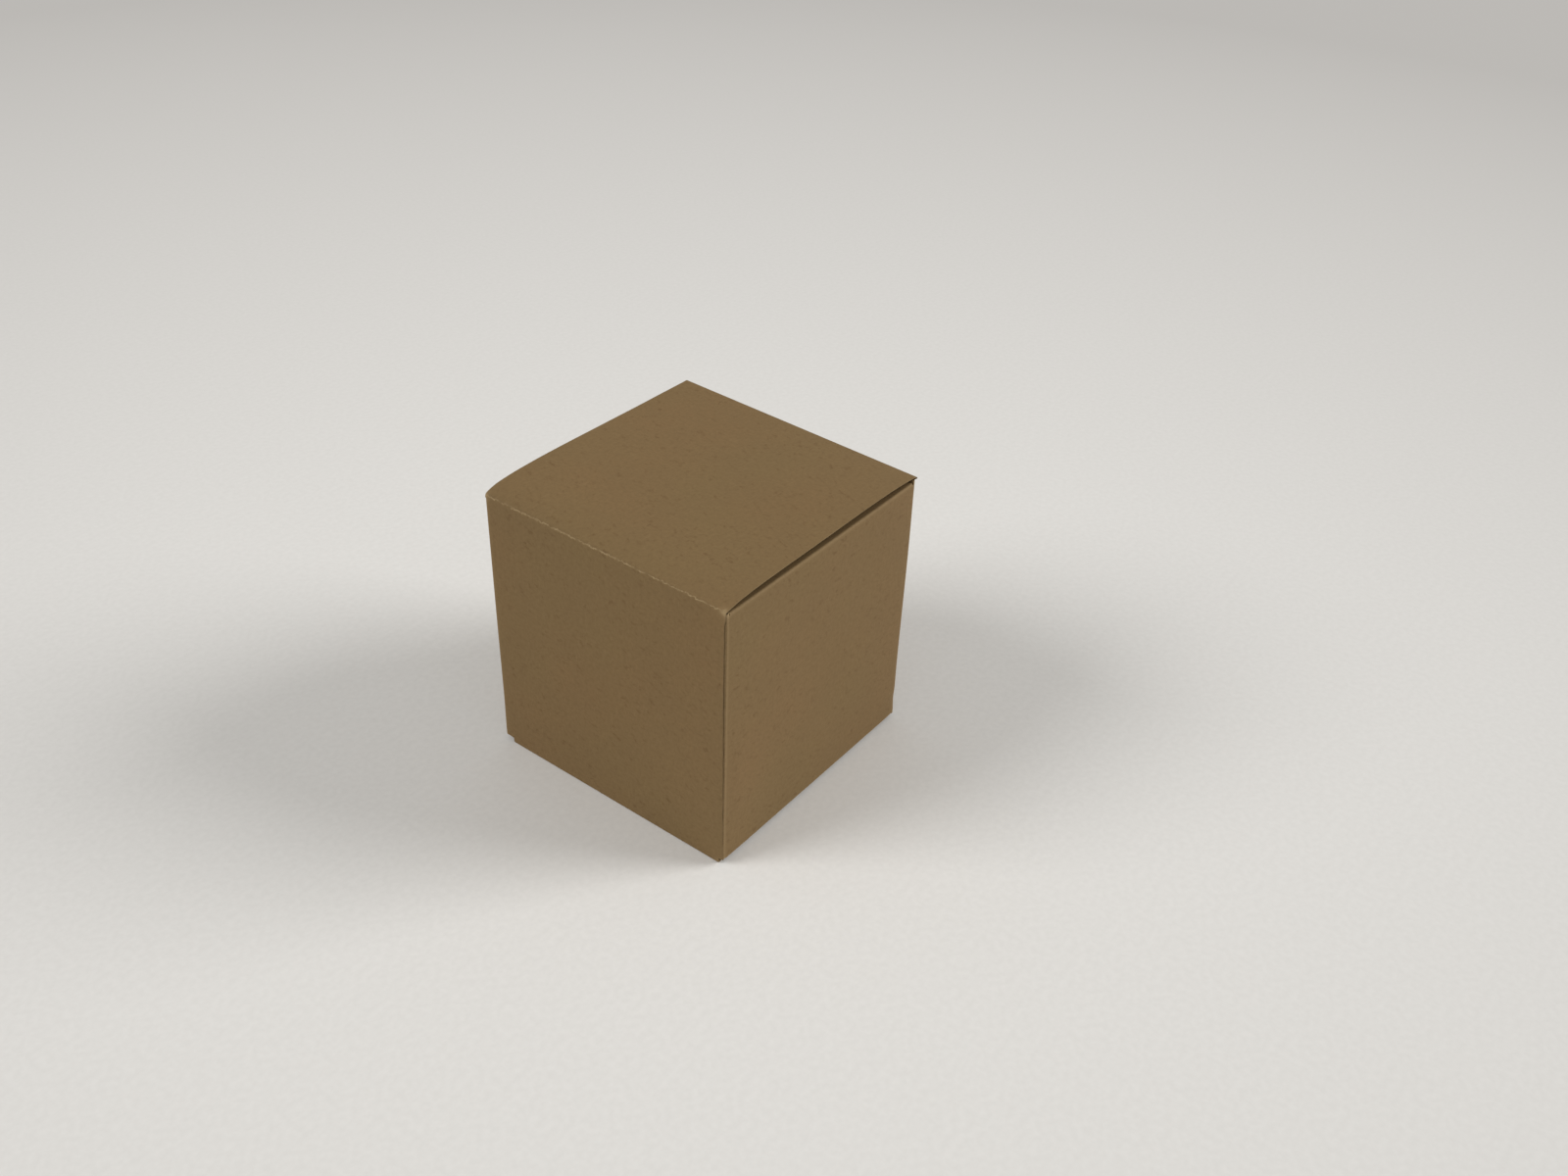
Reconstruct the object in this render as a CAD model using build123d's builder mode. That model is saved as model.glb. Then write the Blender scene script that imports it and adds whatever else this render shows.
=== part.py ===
from build123d import *
import os
from math import acos, atan2, cos, degrees, radians, sin, tan

# A small card tuck box, folded from one die-cut blank and glued down one upright edge.
# The hinge wall faces -X, the tuck wall faces +X and the two side walls face -Y and +Y.
# The box stands on its bottom flap at Z = 0, with the middle of its base at the origin.

# Inside sizes of the closed box, and the card that it is cut from
inner_length = 50.0
inner_width = 50.0
inner_height = 50.0
card = 0.4

# Outside radius of each kind of fold
upright_radius = 0.7
hinge_radius = 0.6
dust_radius = 0.6
tuck_radius = 1.1
tuck_return_radius = 1.0

# The lid springs up between its two creases and leaves each at this slope, in degrees
lid_slope = 3.3

# Where the lid and the bottom flap stop short of the outside of the side walls
lid_inset = 0.7
bottom_inset = 1.4

# Tuck flaps: their length below the fold, what is cut from each side, and their corners
tuck_length = 10.5
tuck_side_cut = 1.2
tuck_taper = 4.0
tuck_corner = 7.0
tuck_clearance = 0.15

# The tuck wall is cut low between its two upright folds, top and bottom
tuck_wall_drop = 2.1
tuck_wall_corner = 0.8

# Dust flaps: how far they reach in, how they hang, and how their plan is cut
dust_length = 20.0
dust_sag = 4.0
dust_clearance = 0.1
dust_hinge_gap = 1.4
dust_tuck_gap = 1.5
dust_shoulder = 4.0
dust_hinge_taper = 3.0
dust_tuck_taper = 15.0
dust_corner = 3.0
dust_relief = 0.3

# Glue flap, folded in behind the free edge of the hinge wall
glue_width = 12.0
glue_land = 0.5
glue_end = 2.5
glue_taper = 20.0
seam_setback = 0.7

# Outside of the folded box: two layers of card close it at the top and at the bottom
half_length = inner_length / 2 + card
half_width = inner_width / 2 + card
box_height = inner_height + 4 * card
middle = Plane.XY.offset(box_height / 2)

# Levels of the folds at the top, and the two ends of the dust flaps along their walls
wall_top = box_height - hinge_radius
dust_top = box_height - card - dust_clearance
dust_fold = dust_top - dust_radius
tuck_wall_top = box_height - tuck_wall_drop
dust_start = -half_length + dust_hinge_gap
dust_end = half_length - dust_tuck_gap

# The lid turns about the outside of its crease, half way round the fold
crease_half = 45.0
hinge = Vector(
    -half_length + hinge_radius * (1 - cos(radians(crease_half))),
    wall_top + hinge_radius * sin(radians(crease_half)),
)

# A closed tuck flap lies on a circle about the hinge, so it swings clear of the tuck wall
swing_radius = half_length - card - hinge.X - tuck_clearance


def closure(slope, side_inset):
    """Closing panel and tuck flap in one strip, drawn by its outside as seen along +Y."""
    rise = radians(slope)
    panel_start = Vector(-half_length + hinge_radius * (1 - sin(rise)), wall_top + hinge_radius * cos(rise))
    fold_centre = Vector(half_length - tuck_radius, panel_start.Y - tuck_radius * cos(rise))
    span = fold_centre.X + tuck_radius * sin(rise) - panel_start.X

    # The return bend touches the tuck fold and the circle that the tuck flap swings on
    to_hinge = hinge - fold_centre
    both_bends = tuck_radius + tuck_return_radius
    return_swing = swing_radius + tuck_return_radius
    bend_cosine = (to_hinge.length**2 + both_bends**2 - return_swing**2) / (2 * to_hinge.length * both_bends)
    fold_end = atan2(to_hinge.Y, to_hinge.X) + acos(bend_cosine)
    return_centre = fold_centre + Vector(cos(fold_end), sin(fold_end)) * both_bends
    from_hinge = return_centre - hinge
    fold_turn = 450 - degrees(fold_end) - slope
    return_turn = 360 - degrees(fold_end) + degrees(atan2(from_hinge.Y, from_hinge.X))

    panel_half_width = half_width - side_inset
    shoulder = panel_half_width - tuck_side_cut
    tip_level = return_centre.Y - tuck_length
    tip = shoulder - (fold_centre.Y - tip_level) * tan(radians(tuck_taper))
    with BuildPart() as panel:
        with BuildSketch(Plane.XZ):
            with BuildLine():
                crease = JernArc(hinge, (1, 1), hinge_radius, slope - crease_half)
                if slope > 0:
                    sheet = JernArc(crease @ 1, crease % 1, span / (2 * sin(rise)), -2 * slope)
                else:
                    sheet = Line(crease @ 1, crease @ 1 + Vector(span, 0))
                fold = JernArc(sheet @ 1, sheet % 1, tuck_radius, -fold_turn)
                bend = JernArc(fold @ 1, fold % 1, tuck_return_radius, return_turn)
                JernArc(bend @ 1, bend % 1, swing_radius, -degrees(tuck_length / swing_radius))
                offset(amount=card, side=Side.RIGHT)
            make_face()
        extrude(amount=panel_half_width, both=True)

        # Seen along X, the tuck flap is narrower than its panel and has round corners
        with BuildSketch(Plane.YZ):
            with Locations((0, fold_centre.Y)):
                Rectangle(2 * panel_half_width, box_height, align=(Align.CENTER, Align.MIN))
            with BuildLine():
                Polyline(
                    (-shoulder, fold_centre.Y),
                    (-tip, tip_level),
                    (tip, tip_level),
                    (shoulder, fold_centre.Y),
                    close=True,
                )
            make_face()
            fillet(vertices().group_by(Axis.Y)[0], radius=tuck_corner)
        extrude(amount=half_length, both=True, mode=Mode.INTERSECT)
    return panel


def dust_flap():
    """Dust flap at the top of the side wall that faces +Y, with its fold."""
    taper_in = dust_length * tan(radians(dust_hinge_taper))
    taper_out = (dust_length - dust_shoulder) * tan(radians(dust_tuck_taper))
    with BuildPart() as flap:
        with BuildSketch(Plane.YZ.offset(dust_start)):
            with BuildLine():
                fold = JernArc((half_width, dust_fold), (0, 1), dust_radius, 90 + dust_sag)
                Line(fold @ 1, fold @ 1 + (fold % 1) * dust_length)
                offset(amount=card, side=Side.LEFT)
            make_face()
        extrude(amount=dust_end - dust_start)

        # Seen from above, its two ends are cut on a slant and its corners are round
        with BuildSketch(Plane.XY):
            with BuildLine():
                Polyline(
                    (dust_start, half_width),
                    (dust_start + taper_in, half_width - dust_length),
                    (dust_end - taper_out, half_width - dust_length),
                    (dust_end, half_width - dust_shoulder),
                    (dust_end, half_width),
                    close=True,
                )
            make_face()
            fillet(vertices().group_by(Axis.Y)[0], radius=dust_corner)
        extrude(amount=box_height, mode=Mode.INTERSECT)
    return flap


lid = closure(lid_slope, lid_inset)
bottom_closure = closure(0, bottom_inset)
dust = dust_flap()

with BuildPart() as carton_body:
    # Upper half of the walls, with the hinge wall's free edge left open at one corner
    with BuildSketch(middle):
        Rectangle(2 * half_length, 2 * half_width)
        fillet(vertices(), radius=upright_radius)
        offset(amount=-card, mode=Mode.SUBTRACT)
        with Locations((-half_length, -half_width)):
            Rectangle(
                card + upright_radius, seam_setback, align=(Align.MIN, Align.MIN), mode=Mode.SUBTRACT
            )

        # The side wall folds in behind that edge, and its glue flap lies against the hinge wall
        with BuildLine():
            FilletPolyline(
                (0, -half_width),
                (-half_length + card, -half_width),
                (-half_length + card, -half_width + glue_width),
                radius=upright_radius,
            )
            offset(amount=card, side=Side.RIGHT)
        make_face()
    extrude(amount=wall_top - middle.origin.Z)

    # Just past its fold, the glue flap's end is cut back on a slant
    with BuildSketch(Plane.YZ.offset(-half_length + card)):
        glue_root = -half_width + upright_radius + glue_land
        glue_tip = -half_width + glue_width
        glue_slant = (glue_tip - glue_root) * tan(radians(glue_taper))
        with BuildLine():
            Polyline(
                (glue_root, wall_top),
                (glue_root, wall_top - glue_end),
                (glue_tip, wall_top - glue_end - glue_slant),
                (glue_tip, wall_top),
                close=True,
            )
        make_face()
    extrude(amount=card, mode=Mode.SUBTRACT)

    # The tuck wall is cut low, so that the lid's fold passes over its edge
    with BuildSketch(Plane.YZ.offset(half_length)):
        with Locations((0, tuck_wall_top)):
            Rectangle(2 * (half_width - upright_radius), tuck_wall_drop, align=(Align.CENTER, Align.MIN))
        fillet(vertices().group_by(Axis.Y)[0], radius=tuck_wall_corner)
    extrude(amount=-card, mode=Mode.SUBTRACT)

    # The side walls stop where their dust flaps fold, with a little relief at each end
    with BuildSketch(Plane.XZ):
        with Locations((dust_start - dust_relief, dust_fold)):
            Rectangle(
                dust_end - dust_start + 2 * dust_relief, box_height - dust_fold, align=(Align.MIN, Align.MIN)
            )
    extrude(amount=half_width, both=True, mode=Mode.SUBTRACT)
    add(dust.part)
    mirror(dust.part, about=Plane.XZ)

    # The lower half is the same, upside down
    mirror(about=middle)

    # Half of each hinge crease belongs to the hinge wall, and half to the closure
    for fold_level, up, side, stop in (
        (wall_top, 1, Side.RIGHT, lid_inset),
        (box_height - wall_top, -1, Side.LEFT, bottom_inset),
    ):
        with BuildSketch(Plane.XZ):
            with BuildLine():
                JernArc((-half_length, fold_level), (0, up), hinge_radius, -up * crease_half)
                offset(amount=card, side=side)
            make_face()
        extrude(amount=half_width - stop, both=True)

with BuildPart() as bottom_flap:
    mirror(bottom_closure.part, about=middle)

os.makedirs("parts", exist_ok=True)
for name, piece in (("carton_body", carton_body), ("lid", lid), ("bottom_flap", bottom_flap)):
    piece.part.label = name
    export_step(piece.part, f"parts/{name}.step")
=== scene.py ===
from math import cos, pi, radians, sin, tan

import bpy
import numpy as np
from mathutils import Matrix, Vector


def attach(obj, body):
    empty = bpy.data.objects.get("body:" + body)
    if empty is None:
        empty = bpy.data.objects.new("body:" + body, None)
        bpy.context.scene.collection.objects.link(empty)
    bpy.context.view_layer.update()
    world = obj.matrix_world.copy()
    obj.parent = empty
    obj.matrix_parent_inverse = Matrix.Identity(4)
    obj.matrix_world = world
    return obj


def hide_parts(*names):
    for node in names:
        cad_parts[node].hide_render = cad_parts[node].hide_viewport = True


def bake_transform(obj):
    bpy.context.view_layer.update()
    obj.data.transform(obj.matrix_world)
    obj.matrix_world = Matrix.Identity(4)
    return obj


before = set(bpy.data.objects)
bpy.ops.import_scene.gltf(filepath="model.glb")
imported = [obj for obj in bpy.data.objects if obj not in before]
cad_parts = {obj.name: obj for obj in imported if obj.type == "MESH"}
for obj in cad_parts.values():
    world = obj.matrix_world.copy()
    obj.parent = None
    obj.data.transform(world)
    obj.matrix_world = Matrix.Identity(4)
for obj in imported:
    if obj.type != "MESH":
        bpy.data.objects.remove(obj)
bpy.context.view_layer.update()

# A small card tuck box. Every piece of it is card, made from places on the flat blank: s runs round
# the box from the hinge wall's free edge, and v is the height on the walls and carries on past them.
# Sizes are in millimetres, as in the CAD, until a mesh is made.
MM = 0.001
CARD = 0.4
HALF_LENGTH = 25.4
HALF_WIDTH = 25.4
HEIGHT = 51.6
UPRIGHT_RADIUS = 0.7
CREASE_RADIUS = 0.45

# Levels of the cut edges and folds at the top of the walls; the bottom is the same upside down
MIDDLE = HEIGHT / 2
WALL_TOP = HEIGHT - CREASE_RADIUS
DUST_FOLD = HEIGHT - 1.1
TUCK_WALL_TOP = HEIGHT - 2.1

# At the bottom, the edge beside the hinge wall is cut shorter, which leaves a notch at the corner
NOTCHED_EDGE = HEIGHT - 1.15

# The tuck wall's low edge has rounded ends, as (distance from its upright fold, height above the edge).
# Round each of those folds the edge slopes down to them, from this far past the side wall.
TUCK_WALL_ROUNDING = ((0.0, 0.8), (0.24, 0.24), (0.8, 0.0))
POST_SLOPE = 0.3

# Dust flaps: their two ends along the side walls, and the shape they are cut to
DUST_START, DUST_END = -24.35, 24.3
DUST_RELIEF = 0.2
DUST_LENGTH = 20.0
DUST_SHOULDER = 4.0
DUST_HINGE_TAPER = tan(radians(3.0))
DUST_TUCK_TAPER = tan(radians(15.0))
DUST_CORNER = 3.0

# They fold down past level, and the card beside the fold springs back part of the way
DUST_RADIUS = 0.35
DUST_SAG = radians(4.0)
DUST_SPRING = radians(11.0)
DUST_SPRING_LENGTH = 6.0

# The hinge wall's free edge is set back, and pressed thin where it is glued to the glue flap
SEAM_SETBACK = 0.3
SEAM_RADIUS = 0.35
PRESSED = 0.29
PRESS_REACH = 2.0
GLUE_WIDTH = 12.0
GLUE_LAND = 0.5
GLUE_END = 2.5
GLUE_TAPER = tan(radians(20.0))
GLUE_FILM = 0.02

# That edge is a little ragged. Near its top and towards the floor it closes the seam, and low down
# it is dented too. The closing eases in and out over two runs of (level, length).
RAGGED, RAGGED_WAVES = 0.05, (1.9, 0.7)
SEAM_CLOSED, SEAM_CLOSED_REACH = 0.26, 0.6
SEAM_DENT, SEAM_DENT_REACH = 0.11, 0.35
CLOSED_TOP = (WALL_TOP - 2.4, 1.4)
CLOSED_LOW = (4.0, 34.0)

# The walls are very slightly full, because the card is drawn in beside its upright folds
DRAWN_IN, DRAWN_IN_REACH = 0.12, 1.6

# Waves of the walls: height, how far along and how far up make one radian of the wave, and phase
WALL_WAVES = ((0.05, 5.3, 11.0, 0.0), (0.03, 3.1, -6.1, 2.0))
WAVE_MARGIN, WAVE_EASE = 1.5, 9.0
NO_WAVES_BEFORE_SEAM = 2.0

# The corner between the tuck wall and the front wall was knocked in near the floor
KNOCK = 0.14
KNOCK_LEVEL, KNOCK_PAST_FOLD = 4.3, 0.2
KNOCK_WIDTH, KNOCK_HEIGHT = 0.949, 1.732

# Lid and bottom flap: the fold at the far end of the panel, how far it stands past the tuck wall,
# and the return bend and tuck flap beyond it
LID_FOLD_RADIUS, LID_REACH = 0.85, 0.4
BOTTOM_FOLD_RADIUS, BOTTOM_REACH = 1.1, 0.0
RETURN_RADIUS = 1.0
TUCK_LENGTH = 10.5
TUCK_TAPER = tan(radians(4.0))
TUCK_CORNER = 7.0

# What is cut from each side of them, and (distance past the fold where it begins, length it takes)
FOLD_SIDE_CUT, FOLD_CUT_RUN = 0.6, (-0.5, 0.9)
TUCK_SIDE_CUT, TUCK_CUT_RUN = 1.7, (0.9, 0.8)

# Side edges of the panels, each as its Y at the hinge crease and at the tuck fold
LID_SIDES = ((-25.36, -25.3), (25.1, 25.25))
BOTTOM_SIDES = ((-24.5, -24.2), (23.1, 23.8))

# The joints turn about the outside of the CAD's creases, half way round each fold
CAD_CREASE_RADIUS = 0.6
TUCK_CLEARANCE = 0.15
HINGE_X = -HALF_LENGTH + CAD_CREASE_RADIUS * (1 - cos(pi / 4))
HINGE_Z = HEIGHT - CAD_CREASE_RADIUS * (1 - sin(pi / 4))
SWING_RADIUS = HALF_LENGTH - CARD - TUCK_CLEARANCE - HINGE_X

# The lid has sprung up: its two side edges, as (share of the way from hinge to tuck fold, height)
LID_FRONT = (
    (0, 0),
    (0.015, 0),
    (0.03, 0.1),
    (0.06, 0.36),
    (0.12, 0.55),
    (0.25, 0.68),
    (0.5, 0.78),
    (0.75, 0.78),
    (0.9, 0.58),
    (0.96, 0.38),
    (1, 0.17),
)
LID_BACK = (
    (0, 0),
    (0.015, 0.35),
    (0.05, 0.9),
    (0.1, 1.2),
    (0.2, 1.42),
    (0.38, 1.5),
    (0.55, 1.42),
    (0.8, 1.2),
    (1, 1.15),
)

# Between its two folds the lid is slightly wavy too: height, and the share over which it eases in
LID_WAVE, LID_WAVE_EASE = 0.04, 0.2

# The strip that makes a hinge crease runs on past its bend by this much, and its panel starts there
CREASE_LAP = 0.35

# Where the card shows wear: the widths of upright folds, dust folds and rubbed corners, how far past
# the level of their fold the last two lie, and how strongly the corners are rubbed
UPRIGHT_WEAR = 0.6
DUST_WEAR, DUST_WEAR_RISE = 0.4, 0.3
CORNER_WEAR, CORNER_WEAR_RISE = 0.8, 0.2
RUBBED = 2.2

# One of those corners is the hinge wall's free edge, and far from a hinge crease is this far
FREE_EDGE = 0.1
UNCREASED = 9.0

# How far apart the points of a mesh are on plain card, and how its cut edges are bevelled
STEP = 1.0
ARC_STEPS = 8
WALL_MARGIN = 0.9
BEVEL = 0.04
SMOOTH_UP_TO = radians(30)

# Steps in the edge of the walls are a hair wide, other columns of points keep this gap from them,
# and places this near each other are the same
HAIR = 0.02
COLUMN_GAP = 0.06
NEAR = 1e-4


def runs(first, *stops):
    """Numbers from first on, where each stop is (number, steps from the one before it)."""
    values = [first]
    for end, steps in stops:
        values.extend(np.linspace(values[-1], end, steps + 1)[1:])
    return np.array(values)


def ease(x):
    """0 up to 0, 1 from 1 on, and smooth between them."""
    x = np.clip(x, 0.0, 1.0)
    return x * x * (3 - 2 * x)


def eased(x, run):
    """ease of x over a run of (start, length)."""
    start, length = run
    return ease((x - start) / length)


def bell(distance, width):
    """1 at no distance, and falling away smoothly to both sides over about this width."""
    return np.exp(-((distance / width) ** 2))


def through(t, knots):
    """A smooth curve through the knots, each (t, value)."""
    x, y = np.array(knots, float).T
    slope = np.gradient(y, x)
    k = np.clip(np.searchsorted(x, t, side="right") - 1, 0, len(x) - 2)
    width = x[k + 1] - x[k]
    u = np.clip((t - x[k]) / width, 0, 1)
    ends = y[k] * (1 + 2 * u) * (1 - u) ** 2 + y[k + 1] * u * u * (3 - 2 * u)
    return ends + width * (slope[k] * u * (1 - u) ** 2 + slope[k + 1] * u * u * (u - 1))


class Route:
    """A smooth line in a plane, made of (length, turn) steps. It runs on straight past both ends."""

    def __init__(self, start, heading, steps):
        marks, starts, headings, bends = [0.0], [np.array(start, float)], [heading], []
        for length, turn in steps:
            bends.append(turn / length)
            starts.append(self.onward(starts[-1], headings[-1], bends[-1], length))
            headings.append(headings[-1] + turn)
            marks.append(marks[-1] + length)
        self.marks = np.array(marks)
        self.starts = np.array([starts[0], *starts])
        self.headings = np.array([heading, *headings])
        self.bends = np.array([0.0, *bends, 0.0])

    @staticmethod
    def onward(start, heading, bend, distance):
        """The point this far along an arc, or a straight line where bend is 0."""
        half = np.asarray(bend * distance / 2)
        chord = distance * np.sinc(half / pi)
        way = np.stack([np.cos(heading + half), np.sin(heading + half)], -1)
        return start + np.asarray(chord)[..., None] * way

    def at(self, distance):
        """The points at these distances along the line, as two arrays, and the headings there."""
        step = np.searchsorted(self.marks, distance, side="right")
        since = distance - self.marks[np.maximum(step - 1, 0)]
        point = self.onward(self.starts[step], self.headings[step], self.bends[step], since)
        return point[..., 0], point[..., 1], self.headings[step] + self.bends[step] * since


# The walls seen from above: once round the box from the hinge wall's free edge to the glue flap
STRAIGHT = 2 * (HALF_LENGTH - UPRIGHT_RADIUS)
CORNER = (UPRIGHT_RADIUS * pi / 2, -pi / 2)
walls = Route(
    (-HALF_LENGTH, -HALF_WIDTH + SEAM_SETBACK),
    pi / 2,
    [
        (2 * HALF_WIDTH - SEAM_SETBACK - UPRIGHT_RADIUS, 0.0),
        CORNER,
        (STRAIGHT, 0.0),
        CORNER,
        (STRAIGHT, 0.0),
        CORNER,
        (2 * HALF_LENGTH - UPRIGHT_RADIUS - CARD + PRESSED - GLUE_FILM - SEAM_RADIUS, 0.0),
        (SEAM_RADIUS * pi / 2, -pi / 2),
        (PRESS_REACH / 2, -2 * PRESSED / PRESS_REACH),
        (PRESS_REACH / 2, 2 * PRESSED / PRESS_REACH),
        (GLUE_WIDTH - SEAM_RADIUS - PRESS_REACH, 0.0),
    ],
)
HINGE_WALL, BACK_CORNER, BACK_WALL, FAR_CORNER, TUCK_WALL, RIGHT_CORNER, FRONT_WALL = walls.marks[:7]
SEAM_FOLD, GLUE_FLAP, GLUE_TIP = walls.marks[7], walls.marks[8], walls.marks[-1]
UPRIGHTS = (walls.marks[1:8:2] + walls.marks[2:9:2]) / 2
RIGHT_FOLD = UPRIGHTS[2]

# The closures and their creases lie on the blank before this place
CLOSURES_END = BACK_CORNER + 1

# A dust flap seen from the end of its wall: outward is the first axis and up is the second
DUST_TURN = pi / 2 + DUST_SAG + DUST_SPRING
dust_profile = Route(
    (0.0, DUST_FOLD),
    pi / 2,
    [
        (DUST_RADIUS * DUST_TURN, DUST_TURN),
        (DUST_SPRING_LENGTH, -DUST_SPRING),
        (DUST_LENGTH - DUST_SPRING_LENGTH, 0.0),
    ],
)
DUST_FLAT, DUST_TIP = dust_profile.marks[1], dust_profile.marks[-1]


def from_middle(v):
    """The same place on the upper half of the blank, for a place on either half."""
    return np.abs(v - MIDDLE) + MIDDLE


def thickness(s):
    """The card is pressed thin along the hinge wall's free edge, where it is glued down."""
    return CARD - PRESSED * (1 - ease(s / PRESS_REACH))


def drawn_in(s):
    """How far the card is drawn in beside its upright folds."""
    away = np.min([np.abs(s - fold) for fold in UPRIGHTS], axis=0)
    return DRAWN_IN * np.exp(-away / DRAWN_IN_REACH) * (s < SEAM_FOLD)


def waviness(s, v):
    """Gentle waves of the walls, with one corner knocked in near the floor."""
    inside = ease((v - WAVE_MARGIN) / WAVE_EASE) * ease((HEIGHT - WAVE_MARGIN - v) / WAVE_EASE)
    waves = sum(high * np.sin(s / along + v / up + phase) for high, along, up, phase in WALL_WAVES)
    knock = bell(s - RIGHT_FOLD - KNOCK_PAST_FOLD, KNOCK_WIDTH) * bell(v - KNOCK_LEVEL, KNOCK_HEIGHT)
    return inside * waves * (s < SEAM_FOLD - NO_WAVES_BEFORE_SEAM) - KNOCK * knock


def on_wall(s, v):
    """Outer face of the walls, with the ragged free edge of the hinge wall."""
    quick, slow = RAGGED_WAVES
    ragged = RAGGED * np.sin(quick * v) * np.sin(slow * v + 1)
    at_top = eased(v, CLOSED_TOP)
    low_down = 1 - eased(v, CLOSED_LOW)
    shift = ragged * (1 - at_top) - SEAM_CLOSED * np.maximum(at_top, low_down)
    x, y, heading = walls.at(s + shift * np.exp(-s / SEAM_CLOSED_REACH))
    dent = SEAM_DENT * low_down * np.exp(-s / SEAM_DENT_REACH)
    out = waviness(s, v) - drawn_in(s) - dent
    return np.stack([x - np.sin(heading) * out, y + np.cos(heading) * out, v + 0 * s], -1)


def on_dust_flap(s, v):
    """Outer face of the dust flaps, which carry on from both ends of a side wall."""
    x, y, heading = walls.at(s)
    out, up, _ = dust_profile.at(from_middle(v) - DUST_FOLD)
    z = MIDDLE + np.sign(v - MIDDLE) * (up - MIDDLE)
    out = out + waviness(s, v) - drawn_in(s)
    return np.stack([x - np.sin(heading) * out, y + np.cos(heading) * out, z], -1)


class Sheet:
    """A folded piece of card, made from the grids of points of its outer face."""

    def __init__(self):
        self.points, self.normals, self.flat, self.faces, self.count = [], [], [], [], 0

    def patch(self, place, s, v):
        """Adds the grid of points that place gives for s and v, which are places on the flat blank."""
        rows, columns = s.shape
        tiny = 1e-3
        along = place(s + tiny, v) - place(s - tiny, v)
        upward = place(s, v + tiny) - place(s, v - tiny)
        normal = np.cross(upward, along)
        self.points.append(place(s, v).reshape(-1, 3))
        self.normals.append((normal / np.linalg.norm(normal, axis=-1, keepdims=True)).reshape(-1, 3))
        self.flat.append(np.stack([s, v], -1).reshape(-1, 2))
        index = self.count + np.arange(rows * columns).reshape(rows, columns)
        corners = (index[:-1, :-1], index[1:, :-1], index[1:, 1:], index[:-1, 1:])
        self.faces.append(np.stack(corners, -1).reshape(-1, 4))
        self.count += rows * columns

    def welded(self):
        """Points, normals, places on the flat card and faces, with the grids joined where they meet."""
        points, normals = np.concatenate(self.points), np.concatenate(self.normals)
        flat, faces = np.concatenate(self.flat), np.concatenate(self.faces)
        _, first, where = np.unique(np.round(points, 3), axis=0, return_index=True, return_inverse=True)
        faces = where.reshape(-1)[faces]
        whole = [len(set(face)) == 4 for face in faces.tolist()]
        return points[first], normals[first], flat[first], faces[whole]


def cut_edges(faces):
    """The edges that only one face has, each as its two points in that face's order."""
    edges = np.concatenate([faces[:, [k, (k + 1) % 4]] for k in range(4)])
    _, first, uses = np.unique(np.sort(edges, axis=1), axis=0, return_index=True, return_counts=True)
    return edges[first[uses == 1]]


def rim_directions(points, normals, flat, rim, seams):
    """For each point on a cut edge, the way out of the card in its own plane, and 0 for the others.

    It is 0 too where the card carries on in the next piece. Also gives the points on a cut edge.
    """
    across = np.cross(points[rim[:, 1]] - points[rim[:, 0]], normals[rim[:, 0]])
    across /= np.linalg.norm(across, axis=1, keepdims=True)
    on_closures = (flat[rim, 0] < CLOSURES_END).all(axis=1)
    for seam in seams:
        at_seam = (np.abs(flat[rim, 1] - seam) < NEAR).all(axis=1)
        across[at_seam & on_closures] = 0
    outward = np.zeros_like(points)
    np.add.at(outward, rim[:, 0], across)
    np.add.at(outward, rim[:, 1], across)
    on_rim = np.unique(rim)
    outward[on_rim] /= np.maximum(np.linalg.norm(outward[on_rim], axis=1, keepdims=True), 1e-6)
    return outward, on_rim


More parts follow.
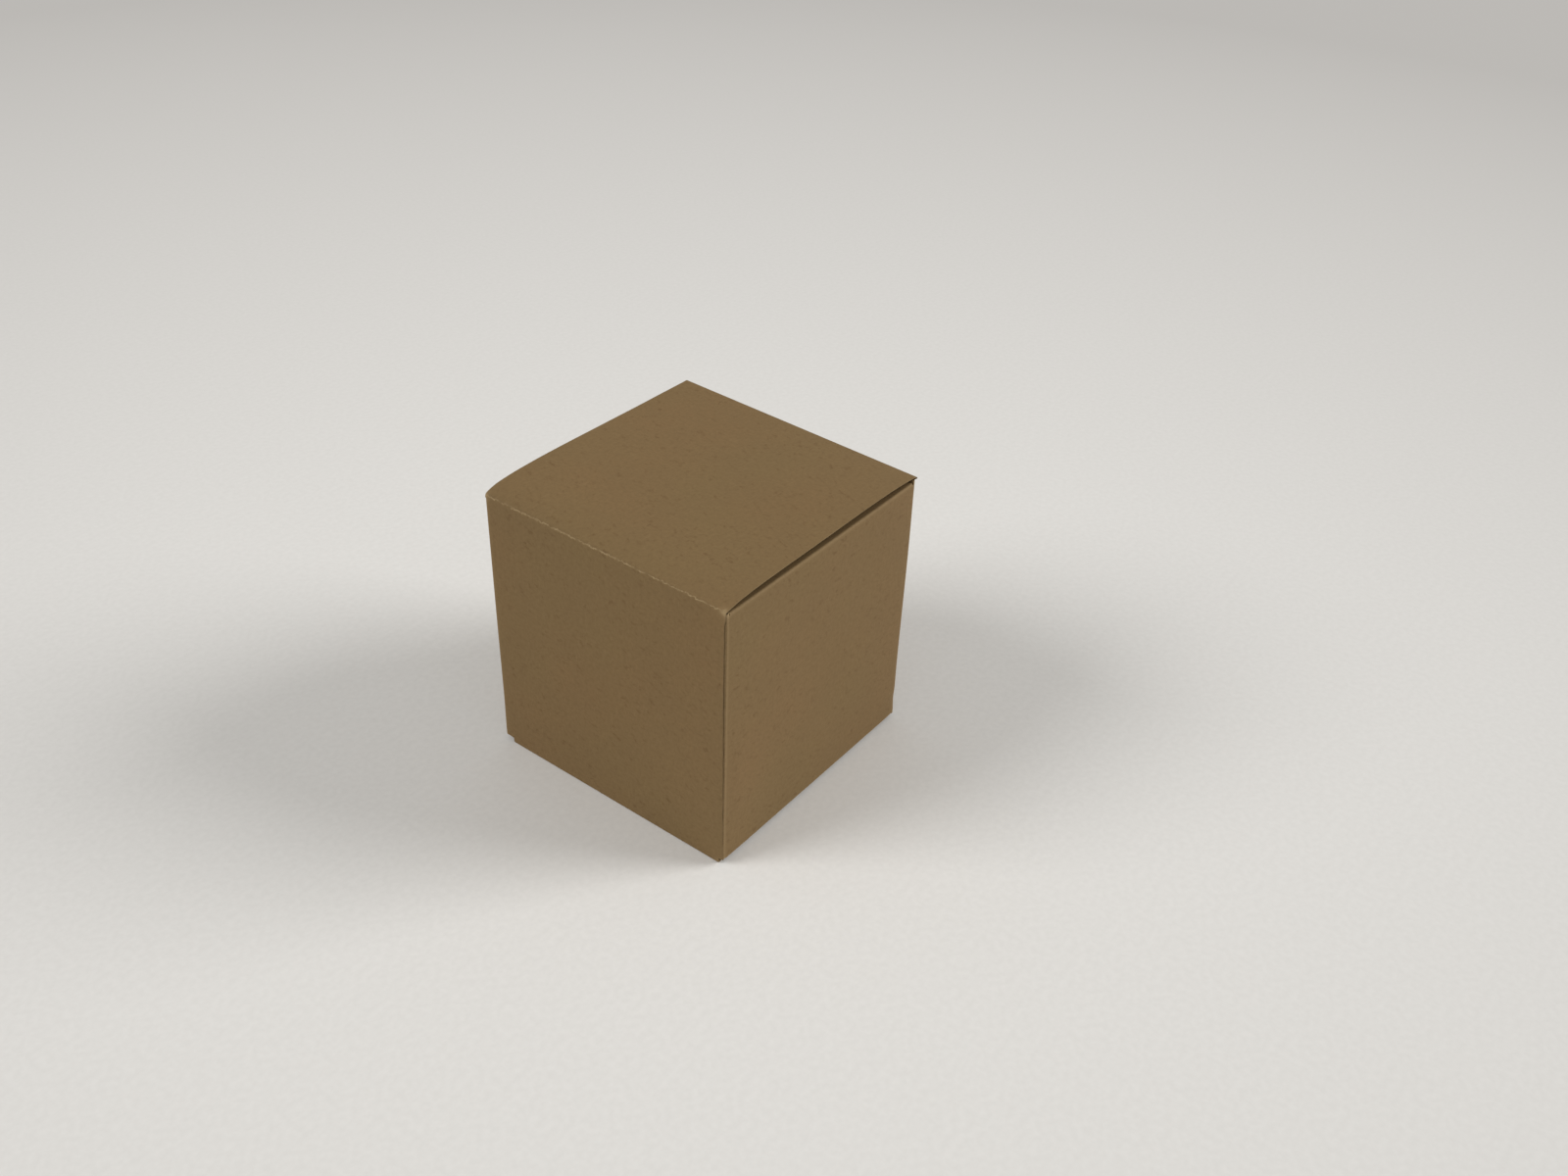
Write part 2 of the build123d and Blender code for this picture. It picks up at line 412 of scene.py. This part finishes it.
def thicken(name, sheet, seams=()):
    """Turns the outer face into card with an inner face and bevelled cut edges, and makes the object.

    seams are the heights on the blank at which the card carries on in the next piece.
    """
    points, normals, flat, faces = sheet.welded()
    rim = cut_edges(faces)
    outward, on_rim = rim_directions(points, normals, flat, rim, seams)

    # Four layers of points, each with its depth in the card: two whole faces, and two along the rim
    thick = thickness(flat[:, :1])
    rings = [
        (points - BEVEL * outward, 0.0),
        (points - thick * normals - BEVEL * outward, CARD),
        ((points - BEVEL * normals)[on_rim], BEVEL),
        ((points - (thick - BEVEL) * normals)[on_rim], CARD - BEVEL),
    ]
    count = len(points)
    slot_of = np.zeros(count, int)
    slot_of[on_rim] = np.arange(len(on_rim))
    a, b = rim[:, 0], rim[:, 1]
    layers = [
        (a, b),
        (2 * count + slot_of[a], 2 * count + slot_of[b]),
        (2 * count + len(on_rim) + slot_of[a], 2 * count + len(on_rim) + slot_of[b]),
        (count + a, count + b),
    ]
    quads = [faces, faces[:, ::-1] + count]
    for (a0, b0), (a1, b1) in zip(layers, layers[1:]):
        quads.append(np.stack([b0, a0, a1, b1], -1))
    shade = np.repeat([0, 1, 2], [len(faces), len(faces), 3 * len(rim)])

    mesh = bpy.data.meshes.new(name)
    co = np.concatenate([ring for ring, _ in rings]) * MM
    mesh.from_pydata(co.tolist(), [], np.concatenate(quads).tolist())
    mesh.polygons.foreach_set("material_index", shade)
    mesh.polygons.foreach_set("use_smooth", np.ones(len(mesh.polygons), bool))
    mesh.set_sharp_from_angle(angle=SMOOTH_UP_TO)

    # What the materials are laid out by: place on the blank with depth, folds, and the hinge crease
    depth = np.concatenate([np.full(len(ring), d) for ring, d in rings])
    blank = np.concatenate([flat, flat, flat[on_rim], flat[on_rim]])
    places = np.column_stack([blank, depth]).astype(np.float32).ravel()
    mesh.attributes.new("blank", "FLOAT_VECTOR", "POINT").data.foreach_set("vector", places)
    for label, values in zip(("fold", "crack"), creased(blank[:, 0], blank[:, 1])):
        mesh.attributes.new(label, "FLOAT", "POINT").data.foreach_set("value", values.astype(np.float32))
    for material in (card_out, card_in, card_cut):
        mesh.materials.append(material)
    mesh.validate()
    obj = bpy.data.objects.new(name, mesh)
    bpy.context.scene.collection.objects.link(obj)
    return obj


def creased(s, v):
    """How strongly a place on the blank is folded, and how far it is from the middle of a hinge crease."""
    beyond = from_middle(v)
    upright = sum(bell(s - fold, UPRIGHT_WEAR) for fold in UPRIGHTS) * (beyond < WALL_TOP)
    on_side = ((s > BACK_WALL) & (s < FAR_CORNER)) | ((s > FRONT_WALL) & (s < SEAM_FOLD))
    turned = bell(beyond - DUST_FOLD - DUST_WEAR_RISE, DUST_WEAR) * on_side
    rubbed = sum(bell(s - corner, CORNER_WEAR) for corner in (*UPRIGHTS, FREE_EDGE))
    rubbed = rubbed * bell(beyond - WALL_TOP - CORNER_WEAR_RISE, CORNER_WEAR)
    crack = beyond - WALL_TOP - CREASE_RADIUS * pi / 4
    crack = np.where(s < CLOSURES_END, crack, UNCREASED)
    return np.clip(upright + turned + RUBBED * rubbed, 0, RUBBED), crack


# Materials


def add(tree, kind, inputs=(), **settings):
    """A new node: settings are its properties, and inputs its sockets' numbers, colours or links."""
    node = tree.nodes.new("ShaderNode" + kind)
    for key, value in settings.items():
        setattr(node, key, value)
    for key, value in dict(inputs).items():
        if isinstance(value, bpy.types.NodeSocket):
            tree.links.new(value, node.inputs[key])
        else:
            node.inputs[key].default_value = value
    return node


def tint(tree, factor, first, second):
    """Colour that goes from first to second with factor."""
    sockets = {0: factor, 6: first, 7: second}
    return add(tree, "Mix", sockets, data_type="RGBA", clamp_factor=True).outputs[2]


def noise(tree, place, scale, detail=2.0, rough=0.5, stretch=(1, 1, 1), turn=0.0):
    """Noise on the flat blank, scale in waves per millimetre, drawn out along one way by stretch."""
    mapping = {"Vector": place, "Scale": stretch, "Rotation": (0, 0, turn)}
    turned = add(tree, "Mapping", mapping, vector_type="TEXTURE").outputs[0]
    inputs = {"Vector": turned, "Scale": scale, "Detail": detail, "Roughness": rough}
    return add(tree, "TexNoise", inputs).outputs[0]


def ramp(tree, factor, low, high, first=0.0, last=1.0):
    """factor between low and high, brought to run from first to last."""
    inputs = {"Value": factor, "From Min": low, "From Max": high, "To Min": first, "To Max": last}
    return add(tree, "MapRange", inputs, clamp=True).outputs[0]


def arithmetic(tree, kind, *values):
    """One step of arithmetic on links or numbers."""
    return add(tree, "Math", dict(enumerate(values)), operation=kind).outputs[0]


def shade_of(base, *factors):
    """The base colour, darker or lighter by one factor, or by one for each of red, green and blue."""
    factors = factors if len(factors) == 3 else 3 * factors
    return (*(colour * factor for colour, factor in zip(base, factors)), 1.0)


def flecks(tree, place, scale, size):
    """1 in the middle of small flecks scattered over the blank, 0 between them, and soft at their rims."""
    cells = add(tree, "TexVoronoi", {"Vector": place, "Scale": scale, "Randomness": 1.0})
    return ramp(tree, cells.outputs["Distance"], size, size * 0.35)


def blank_material(name):
    """An empty material, and the place on the flat blank that its patterns are laid out on."""
    material = bpy.data.materials.new(name)
    material.use_nodes = True
    tree = material.node_tree
    tree.nodes.clear()
    return material, tree, add(tree, "Attribute", attribute_name="blank").outputs["Vector"]


def finish_material(tree, inputs):
    """Gives the material its surface, with these inputs."""
    surface = add(tree, "BsdfPrincipled", inputs)
    tree.links.new(surface.outputs[0], add(tree, "OutputMaterial").inputs[0])


def felted(tree, place, felt, base):
    """Broad clouding, fine felt, and fibres that lie mostly along the machine direction.

    Gives the colour, and the two layers of fibres for the relief.
    """
    red, green = shade_of(base, 1.03, 0.985, 0.97), shade_of(base, 0.98, 1.008, 0.98)
    straw, shadow = shade_of(base, 1.15, 1.18, 1.25), shade_of(base, 0.80, 0.76, 0.72)
    cloudy = noise(tree, place, 0.11, 2.0, 0.5)
    hue = noise(tree, place, 0.035, 1.0, 0.5)
    fibre = noise(tree, place, 3.0, 3.0, 0.6, (1.0, 7.0, 1.0), radians(8))
    cross = noise(tree, place, 2.4, 3.0, 0.6, (5.0, 1.0, 1.0), radians(-14))
    body = tint(tree, ramp(tree, hue, 0.35, 0.65), green, red)
    body = tint(tree, ramp(tree, cloudy, 0.35, 0.7, 0.0, 0.7), body, shade_of(base, 0.95))
    body = tint(tree, ramp(tree, felt, 0.4, 0.68, 0.0, 0.8), body, shade_of(base, 0.85))
    body = tint(tree, ramp(tree, fibre, 0.55, 0.75, 0.0, 0.45), body, straw)
    body = tint(tree, ramp(tree, cross, 0.56, 0.78, 0.0, 0.35), body, shadow)
    return body, fibre, cross


def flecked(tree, place, body, base):
    """Dark bran blots and flecks, crowded in places, and a few pale specks."""
    # Their outlines are made uneven by moving the place that they are looked up at
    push = add(tree, "TexNoise", {"Vector": place, "Scale": 1.1, "Detail": 3.0}).outputs[1]
    push = add(tree, "VectorMath", {0: push, 1: (0.5, 0.5, 0.5)}, operation="SUBTRACT").outputs[0]
    shift = {0: push, 1: (3.2, 2.2, 0.0), 2: place}
    moved = add(tree, "VectorMath", shift, operation="MULTIPLY_ADD").outputs[0]

    crowding = ramp(tree, noise(tree, place, 0.09, 2.0, 0.6), 0.38, 0.62, 0.25, 1.0)
    blots = ramp(tree, noise(tree, place, 0.95, 2.0, 0.6, (1.5, 1.0, 1.0), radians(20)), 0.58, 0.70)
    bran = shade_of(base, 0.60, 0.50, 0.42)
    for spots, strength, colour in (
        (arithmetic(tree, "MULTIPLY", blots, crowding), 0.48, bran),
        (flecks(tree, moved, 0.40, 0.17), 0.42, bran),
        (flecks(tree, moved, 0.90, 0.15), 0.34, bran),
        (flecks(tree, place, 0.5, 0.06), 0.5, shade_of(base, 1.15, 1.18, 1.25)),
    ):
        body = tint(tree, arithmetic(tree, "MULTIPLY", spots, strength), body, colour)
    return body


def worn(tree, place, felt, body, base):
    """Folds are rubbed a little paler, and the hinge creases have split along a thin wandering line.

    Gives the colour, and how torn the card is for the relief.
    """
    fold = add(tree, "Attribute", attribute_name="fold").outputs["Fac"]
    crack = add(tree, "Attribute", attribute_name="crack").outputs["Fac"]
    rub = arithmetic(tree, "MULTIPLY", fold, ramp(tree, felt, 0.36, 0.60, 0.15, 0.65))
    body = tint(tree, rub, body, shade_of(base, 1.45, 1.55, 1.75))

    # The line strays from the middle of the crease by up to half of wander, and is torn in patches
    wander = 1.1
    astray = noise(tree, place, 0.7, 4.0, 0.7)
    centred = arithmetic(tree, "SUBTRACT", crack, wander / 2)
    off_line = arithmetic(tree, "ABSOLUTE", arithmetic(tree, "MULTIPLY_ADD", astray, wander, centred))
    line = ramp(tree, off_line, 0.14, 0.035)
    patches = ramp(tree, noise(tree, place, 0.8, 4.0, 0.7), 0.39, 0.58, 0.04, 0.9)
    torn = arithmetic(tree, "MULTIPLY", line, patches)
    rubbed_through = ramp(tree, fold, 1.1, 2.1, 0.0, 0.6)
    split = arithmetic(tree, "MAXIMUM", torn, rubbed_through)
    return tint(tree, split, body, shade_of(base, 1.75, 1.95, 2.3)), torn


def kraft(name, base):
    """Brown kraft board: felted fibres, scattered bran flecks and pale broken fibres on the folds."""
    material, tree, place = blank_material(name)
    felt = noise(tree, place, 1.5, 5.0, 0.7)
    body, fibre, cross = felted(tree, place, felt, base)
    body = flecked(tree, place, body, base)
    body, torn = worn(tree, place, felt, body, base)
    fibres = arithmetic(tree, "ADD", felt, fibre)
    relief = arithmetic(tree, "ADD", fibres, arithmetic(tree, "MULTIPLY_ADD", torn, 1.5, cross))
    bump = add(tree, "Bump", {"Strength": 0.5, "Distance": 0.03 * MM, "Height": relief}).outputs[0]
    rough = ramp(tree, felt, 0.3, 0.7, 0.66, 0.82)
    finish_material(tree, {"Base Color": body, "Roughness": rough, "Normal": bump, "Specular IOR Level": 0.2})
    return material


def raw_edge(name, base):
    """The cut edge of the board: paler, with its plies showing as fine lines along the cut."""
    material, tree, place = blank_material(name)
    plies = noise(tree, place, 3.0, 3.0, 0.6, (4.0, 4.0, 0.5))
    nap = noise(tree, place, 5.0, 2.0, 0.5)
    body = tint(tree, ramp(tree, plies, 0.35, 0.65), shade_of(base, 0.78), shade_of(base, 1.15))
    bump = add(tree, "Bump", {"Strength": 0.6, "Distance": 0.04 * MM, "Height": nap}).outputs[0]
    finish_material(tree, {"Base Color": body, "Roughness": 0.9, "Normal": bump, "Specular IOR Level": 0.2})
    return material


KRAFT = (0.202, 0.130, 0.057)
PLIES = (0.24, 0.165, 0.085)
card_out = kraft("kraft_outside", KRAFT)
card_in = kraft("kraft_inside", tuple(colour * 1.04 for colour in KRAFT))
card_cut = raw_edge("kraft_cut_edge", PLIES)


# The four walls, glue flap and dust flaps


def along_back(x):
    """Place round the box of this X on the back side wall."""
    return BACK_WALL + x + HALF_LENGTH - UPRIGHT_RADIUS


def along_front(x):
    """Place round the box of this X on the front side wall."""
    return FRONT_WALL + HALF_LENGTH - UPRIGHT_RADIUS - x


# Where the dust flaps begin and end round the box, and whether the hinge wall's end comes first
BACK_DUST = (along_back(DUST_START), along_back(DUST_END), True)
FRONT_DUST = (along_front(DUST_END), along_front(DUST_START), False)


def skyline(corner, crease_sides=()):
    """Top edge of the walls as (place round the box, height): corner is its height beside the hinge wall."""
    far = (corner + WALL_TOP) / 2

    def dust_gap(flap, before, after):
        """The edge at a dust flap's fold, between its heights before and after the flap."""
        start, end, _ = flap
        return [
            (start - DUST_RELIEF - HAIR, before),
            (start - DUST_RELIEF, DUST_FOLD),
            (start, DUST_FOLD),
            (end, DUST_FOLD),
            (end + DUST_RELIEF, DUST_FOLD),
            (end + DUST_RELIEF + HAIR, after),
        ]

    crease = []
    if crease_sides:
        first, last = (side[0] + HALF_WIDTH - SEAM_SETBACK for side in crease_sides)
        crease = [(first - HAIR, corner), (first, WALL_TOP), (last, WALL_TOP), (last + HAIR, corner)]
    rounded_down = [(TUCK_WALL + inward, TUCK_WALL_TOP + above) for inward, above in TUCK_WALL_ROUNDING]
    rounded_up = [(TUCK_WALL + RIGHT_CORNER - place, height) for place, height in reversed(rounded_down)]
    glue_root = GLUE_FLAP + GLUE_LAND
    glue_end = WALL_TOP - GLUE_END
    return np.array(
        [
            (HINGE_WALL, corner),
            *crease,
            *dust_gap(BACK_DUST, corner, far),
            (FAR_CORNER + POST_SLOPE, far),
            *rounded_down,
            *rounded_up,
            (FRONT_WALL - POST_SLOPE, far),
            *dust_gap(FRONT_DUST, far, corner),
            (glue_root, corner),
            (glue_root + HAIR, glue_end),
            (GLUE_TIP, glue_end - (GLUE_TIP - glue_root) * GLUE_TAPER),
        ]
    ).T


def wall_columns(steps):
    """Places of the columns of points: closer together at the folds, and one at each step of the skyline."""
    columns = [0.0]
    for start, end in zip(walls.marks, walls.marks[1:]):
        if end - start < 2 * STEP:
            columns.extend(runs(start, (end, ARC_STEPS))[1:])
        else:
            plain = (end - WALL_MARGIN, int((end - start) / STEP))
            columns.extend(runs(start, (start + WALL_MARGIN, 3), plain, (end, 3))[1:])
    columns = np.array(columns)
    clear = np.abs(columns[:, None] - steps).min(axis=1) > COLUMN_GAP
    return np.union1d(columns[clear], steps)


def add_dust_flaps(shell, columns, flap):
    """Adds the upper and the lower dust flap of one side wall."""
    start, end, hinge_first = flap
    picked = columns[(columns >= start - NEAR) & (columns <= end + NEAR)]
    share = (picked - picked[0]) / (picked[-1] - picked[0])
    reach = runs(
        0.0,
        (DUST_FLAT, 10),
        (DUST_LENGTH - DUST_CORNER, 17),
        (DUST_LENGTH - 0.4, 5),
        (DUST_TIP, 5),
    )
    gone = np.maximum(reach - DUST_FLAT, 0.0)
    rounding = np.clip(reach - (DUST_TIP - DUST_CORNER), 0, DUST_CORNER)
    rounding = DUST_CORNER - np.sqrt(DUST_CORNER**2 - rounding**2)
    hinge_cut = gone * DUST_HINGE_TAPER + rounding
    tuck_cut = np.maximum(gone - DUST_SHOULDER, 0.0) * DUST_TUCK_TAPER + rounding
    first_cut, last_cut = (hinge_cut, tuck_cut) if hinge_first else (tuck_cut, hinge_cut)
    width = picked[-1] - picked[0] - (first_cut + last_cut)[:, None]
    s = picked[0] + first_cut[:, None] + width * share
    v = np.broadcast_to((DUST_FOLD + reach)[:, None], s.shape)
    shell.patch(on_dust_flap, s, v)
    shell.patch(on_dust_flap, s[::-1], HEIGHT - v[::-1])


upper, lower = skyline(WALL_TOP), skyline(NOTCHED_EDGE, BOTTOM_SIDES)
columns = wall_columns(np.union1d(upper[0], lower[0]))
tops, bottoms = np.interp(columns, *upper), HEIGHT - np.interp(columns, *lower)
rows = runs(0.0, (0.02, 3), (0.98, 46), (1.0, 3))[:, None]

shell = Sheet()
shell.patch(on_wall, np.broadcast_to(columns, (len(rows), len(columns))), bottoms + (tops - bottoms) * rows)
for flap in (BACK_DUST, FRONT_DUST):
    add_dust_flaps(shell, columns, flap)
carton_shell = thicken("carton_shell", shell, (WALL_TOP, HEIGHT - WALL_TOP))
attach(carton_shell, "carton_body")
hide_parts("carton_body")


# The two closures: each is one strip that leaves the hinge wall at a crease


def closure_route(radius, reach):
    """Hinge crease, panel, tuck fold, return bend and tuck flap, seen along +Y.

    radius is the tuck fold's, and reach is how far it stands past the tuck wall.
    """
    centre = np.array([HALF_LENGTH + reach - radius, HEIGHT - radius])
    to_hinge = np.array([HINGE_X, HINGE_Z]) - centre
    both = radius + RETURN_RADIUS
    away = np.hypot(*to_hinge)
    cosine = (away**2 + both**2 - (SWING_RADIUS + RETURN_RADIUS) ** 2) / (2 * away * both)
    fold_end = np.arctan2(to_hinge[1], to_hinge[0]) % (2 * pi) + np.arccos(cosine)
    return_centre = centre + both * np.array([np.cos(fold_end), np.sin(fold_end)])
    swing = np.arctan2(return_centre[1] - HINGE_Z, return_centre[0] - HINGE_X)
    fold_turn = 2.5 * pi - fold_end
    return_turn = 2 * pi - fold_end + swing
    return Route(
        (-HALF_LENGTH, WALL_TOP),
        pi / 2,
        [
            (CREASE_RADIUS * pi / 2, -pi / 2),
            (centre[0] + HALF_LENGTH - CREASE_RADIUS, 0.0),
            (radius * fold_turn, -fold_turn),
            (RETURN_RADIUS * return_turn, return_turn),
            (TUCK_LENGTH, -TUCK_LENGTH / SWING_RADIUS),
        ],
    )


def lid_lift(q, t):
    """How far the lid has sprung up: q is 0 at its front edge and 1 at its back edge."""
    inside = ease(t / LID_WAVE_EASE) * ease((1 - t) / LID_WAVE_EASE)
    waves = LID_WAVE * np.sin(6 * q + 9 * t) * inside
    return (1 - q) * through(t, LID_FRONT) + q * through(t, LID_BACK) + waves


def no_lift(q, t):
    """The bottom flap lies flat on the floor."""
    return 0 * q


def side_cut(d, radius, panel_end, tip):
    """What is cut from each side of a closure at these distances along it.

    The fold's corners are worn round as it turns down, and then the flap is cut narrower.
    """
    past = d - (panel_end + radius * pi / 2)
    cut = FOLD_SIDE_CUT * eased(past, FOLD_CUT_RUN)
    cut = cut + (TUCK_SIDE_CUT - FOLD_SIDE_CUT) * eased(past, TUCK_CUT_RUN)
    cut = cut + np.maximum(past, 0) * TUCK_TAPER
    corner = np.clip(d - (tip - TUCK_CORNER), 0, TUCK_CORNER)
    return cut + TUCK_CORNER - np.sqrt(TUCK_CORNER**2 - corner**2)


def across(steps):
    """Columns of points as shares of a closure's width, closer together beside its two edges."""
    return runs(0.0, (0.015, 2), (0.985, steps), (1.0, 2))


def closure(name, radius, reach, sides, lift, body, upside_down):
    """Makes one closure as two pieces: the panel with its tuck flap, and the curved strip of its hinge
    crease.
    """
    route = closure_route(radius, reach)
    crease_end, panel_end, fold_end, flap_start, tip = route.marks[1:]

    def side(number, d):
        """Y of one side edge of the panel, where 0 is the front one and 1 the back one."""
        at_crease, at_fold = sides[number]
        return at_crease + (at_fold - at_crease) * np.clip(d / panel_end, 0, 1)

    def place(s, v):
        """Outer face of the closure, for places on the blank."""
        y = s + SEAM_SETBACK - HALF_WIDTH
        d = from_middle(v) - WALL_TOP
        x, z, _ = route.at(d)
        x = x + drawn_in(s) * (1 - ease(d / crease_end))
        z = z + lift((y + HALF_WIDTH) / (2 * HALF_WIDTH), np.clip(d / panel_end, 0, 1))
        return np.stack([x, y, HEIGHT - z if upside_down else z], -1)

    def grid(d, cut, columns):
        """The sheet of a stretch of the closure, with this much cut from each side."""
        low, high = (side(0, d) + cut)[:, None], (side(1, d) - cut)[:, None]
        s = low + (high - low) * columns + HALF_WIDTH - SEAM_SETBACK
        v = np.broadcast_to((WALL_TOP + d)[:, None], s.shape)
        if upside_down:
            s, v = s[::-1], HEIGHT - v[::-1]
        sheet = Sheet()
        sheet.patch(place, s, v)
        return sheet

    panel_start = crease_end + CREASE_LAP
    seams = (WALL_TOP + panel_start, WALL_TOP)
    if upside_down:
        seams = tuple(HEIGHT - seam for seam in seams)
    d = runs(
        panel_start,
        (crease_end + 1.2, 3),
        (panel_end - 1.0, 46),
        (panel_end, 3),
        (fold_end, 18),
        (flap_start, 12),
        (tip - TUCK_CORNER, 4),
        (tip - 0.5, 10),
        (tip, 5),
    )
    panel = thicken(name + "_panel", grid(d, side_cut(d, radius, panel_end, tip), across(48)), seams)
    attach(panel, body)
    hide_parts(body)

    d = runs(0.0, (crease_end, 12), (panel_start, 2))
    crease = thicken(name + "_crease", grid(d, 0 * d, across(96)), seams)
    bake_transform(crease)


closure("lid", LID_FOLD_RADIUS, LID_REACH, LID_SIDES, lid_lift, "lid", False)
closure("bottom", BOTTOM_FOLD_RADIUS, BOTTOM_REACH, BOTTOM_SIDES, no_lift, "bottom_flap", True)


# Floor, light and camera, in metres

FLOOR_HALF = 6.0
FLOOR_GRAIN = ((0.735, 0.72, 0.69, 1.0), (0.77, 0.755, 0.725, 1.0))
# Away from the box the floor's colour is painted darker, as painted shade where the light would fall off,
# between these distances in metres
FLOOR_FAR_PAINTED_SHADE = (0.50, 0.485, 0.465, 1.0)
PAINTED_SHADE_STARTS, PAINTED_SHADE_ENDS = 0.05, 0.55


def floor_material():
    """Plain and matt, with a faint grain, and painted darker away from the box: painted shade that stands in
    for the lamps' light falling off.
    """
    material = bpy.data.materials.new("pale_floor")
    material.use_nodes = True
    tree = material.node_tree
    tree.nodes.clear()
    place = add(tree, "TexCoord").outputs["Object"]
    weave = add(tree, "TexNoise", {"Vector": place, "Scale": 900.0, "Detail": 2.0}).outputs[0]
    near_box = tint(tree, ramp(tree, weave, 0.3, 0.7), *FLOOR_GRAIN)
    # Painted shade: the floor's colour darkens with distance from the box
    away = add(tree, "VectorMath", {0: place}, operation="LENGTH").outputs["Value"]
    body = tint(tree, ramp(tree, away, PAINTED_SHADE_STARTS, PAINTED_SHADE_ENDS), near_box, FLOOR_FAR_PAINTED_SHADE)
    finish_material(tree, {"Base Color": body, "Roughness": 0.9, "Specular IOR Level": 0.1})
    return material


mesh = bpy.data.meshes.new("floor")
mesh.from_pydata(
    [(x * FLOOR_HALF, y * FLOOR_HALF, 0) for x, y in ((-1, -1), (1, -1), (1, 1), (-1, 1))],
    [],
    [(0, 1, 2, 3)],
)
mesh.materials.append(floor_material())
floor = bpy.data.objects.new("floor", mesh)
bpy.context.scene.collection.objects.link(floor)

# The box is lit by a pale sky, and the camera sees one the colour of the far floor
LIGHT_SKY, LIGHT_STRENGTH = (1.0, 0.99, 0.97, 1.0), 0.38
SEEN_SKY = (0.525, 0.51, 0.487, 1.0)

world = bpy.data.worlds.new("studio")
bpy.context.scene.world = world
world.use_nodes = True
sky = world.node_tree
sky.nodes.clear()
path = add(sky, "LightPath").outputs["Is Camera Ray"]
light = add(sky, "Background", {"Color": LIGHT_SKY, "Strength": LIGHT_STRENGTH}).outputs[0]
seen = add(sky, "Background", {"Color": SEEN_SKY, "Strength": 1.0}).outputs[0]
add(sky, "OutputWorld", {"Surface": add(sky, "MixShader", {0: path, 1: light, 2: seen}).outputs[0]})


def lamp(name, towards, width, strength):
    """A broad soft lamp, far away in this direction."""
    data = bpy.data.lights.new(name, "SUN")
    data.angle, data.energy = width, strength
    obj = bpy.data.objects.new(name, data)
    obj.rotation_euler = Vector(towards).to_track_quat("Z", "Y").to_euler()
    bpy.context.scene.collection.objects.link(obj)


LAMP_WIDTH = 0.52
lamp("right_lamp", (0.45, -0.50, 0.36), LAMP_WIDTH, 2.1)
lamp("left_lamp", (-0.515, 0.378, 0.481), LAMP_WIDTH, 1.6)

# The photo's camera, fitted to the box's corners: its place in millimetres, how it is turned round
# and tilted down, its roll, and its focal length in pixels of the photo
CAMERA_PLACE = Vector((-166.7, -138.5, 182.6))
TURN, DOWN, ROLL = radians(-53.95), radians(34.90), radians(2.40)
PHOTO_WIDTH = 1600
FOCAL_LENGTH = 1560
SENSOR = 36.0

scene = bpy.context.scene
camera = bpy.data.objects.new("camera", bpy.data.cameras.new("camera"))
scene.collection.objects.link(camera)
scene.camera = camera
camera.data.sensor_width = SENSOR
camera.data.lens = FOCAL_LENGTH / PHOTO_WIDTH * SENSOR
back = Vector((sin(TURN) * cos(DOWN), -cos(TURN) * cos(DOWN), sin(DOWN)))
right = Vector((0, 0, 1)).cross(back).normalized()
up = back.cross(right)
axes = Matrix((cos(ROLL) * right + sin(ROLL) * up, cos(ROLL) * up - sin(ROLL) * right, back)).transposed()
camera.matrix_world = Matrix.Translation(CAMERA_PLACE * MM) @ axes.to_4x4()
camera.data.clip_start, camera.data.clip_end = 0.01, 50.0
scene.view_settings.view_transform = "Standard"
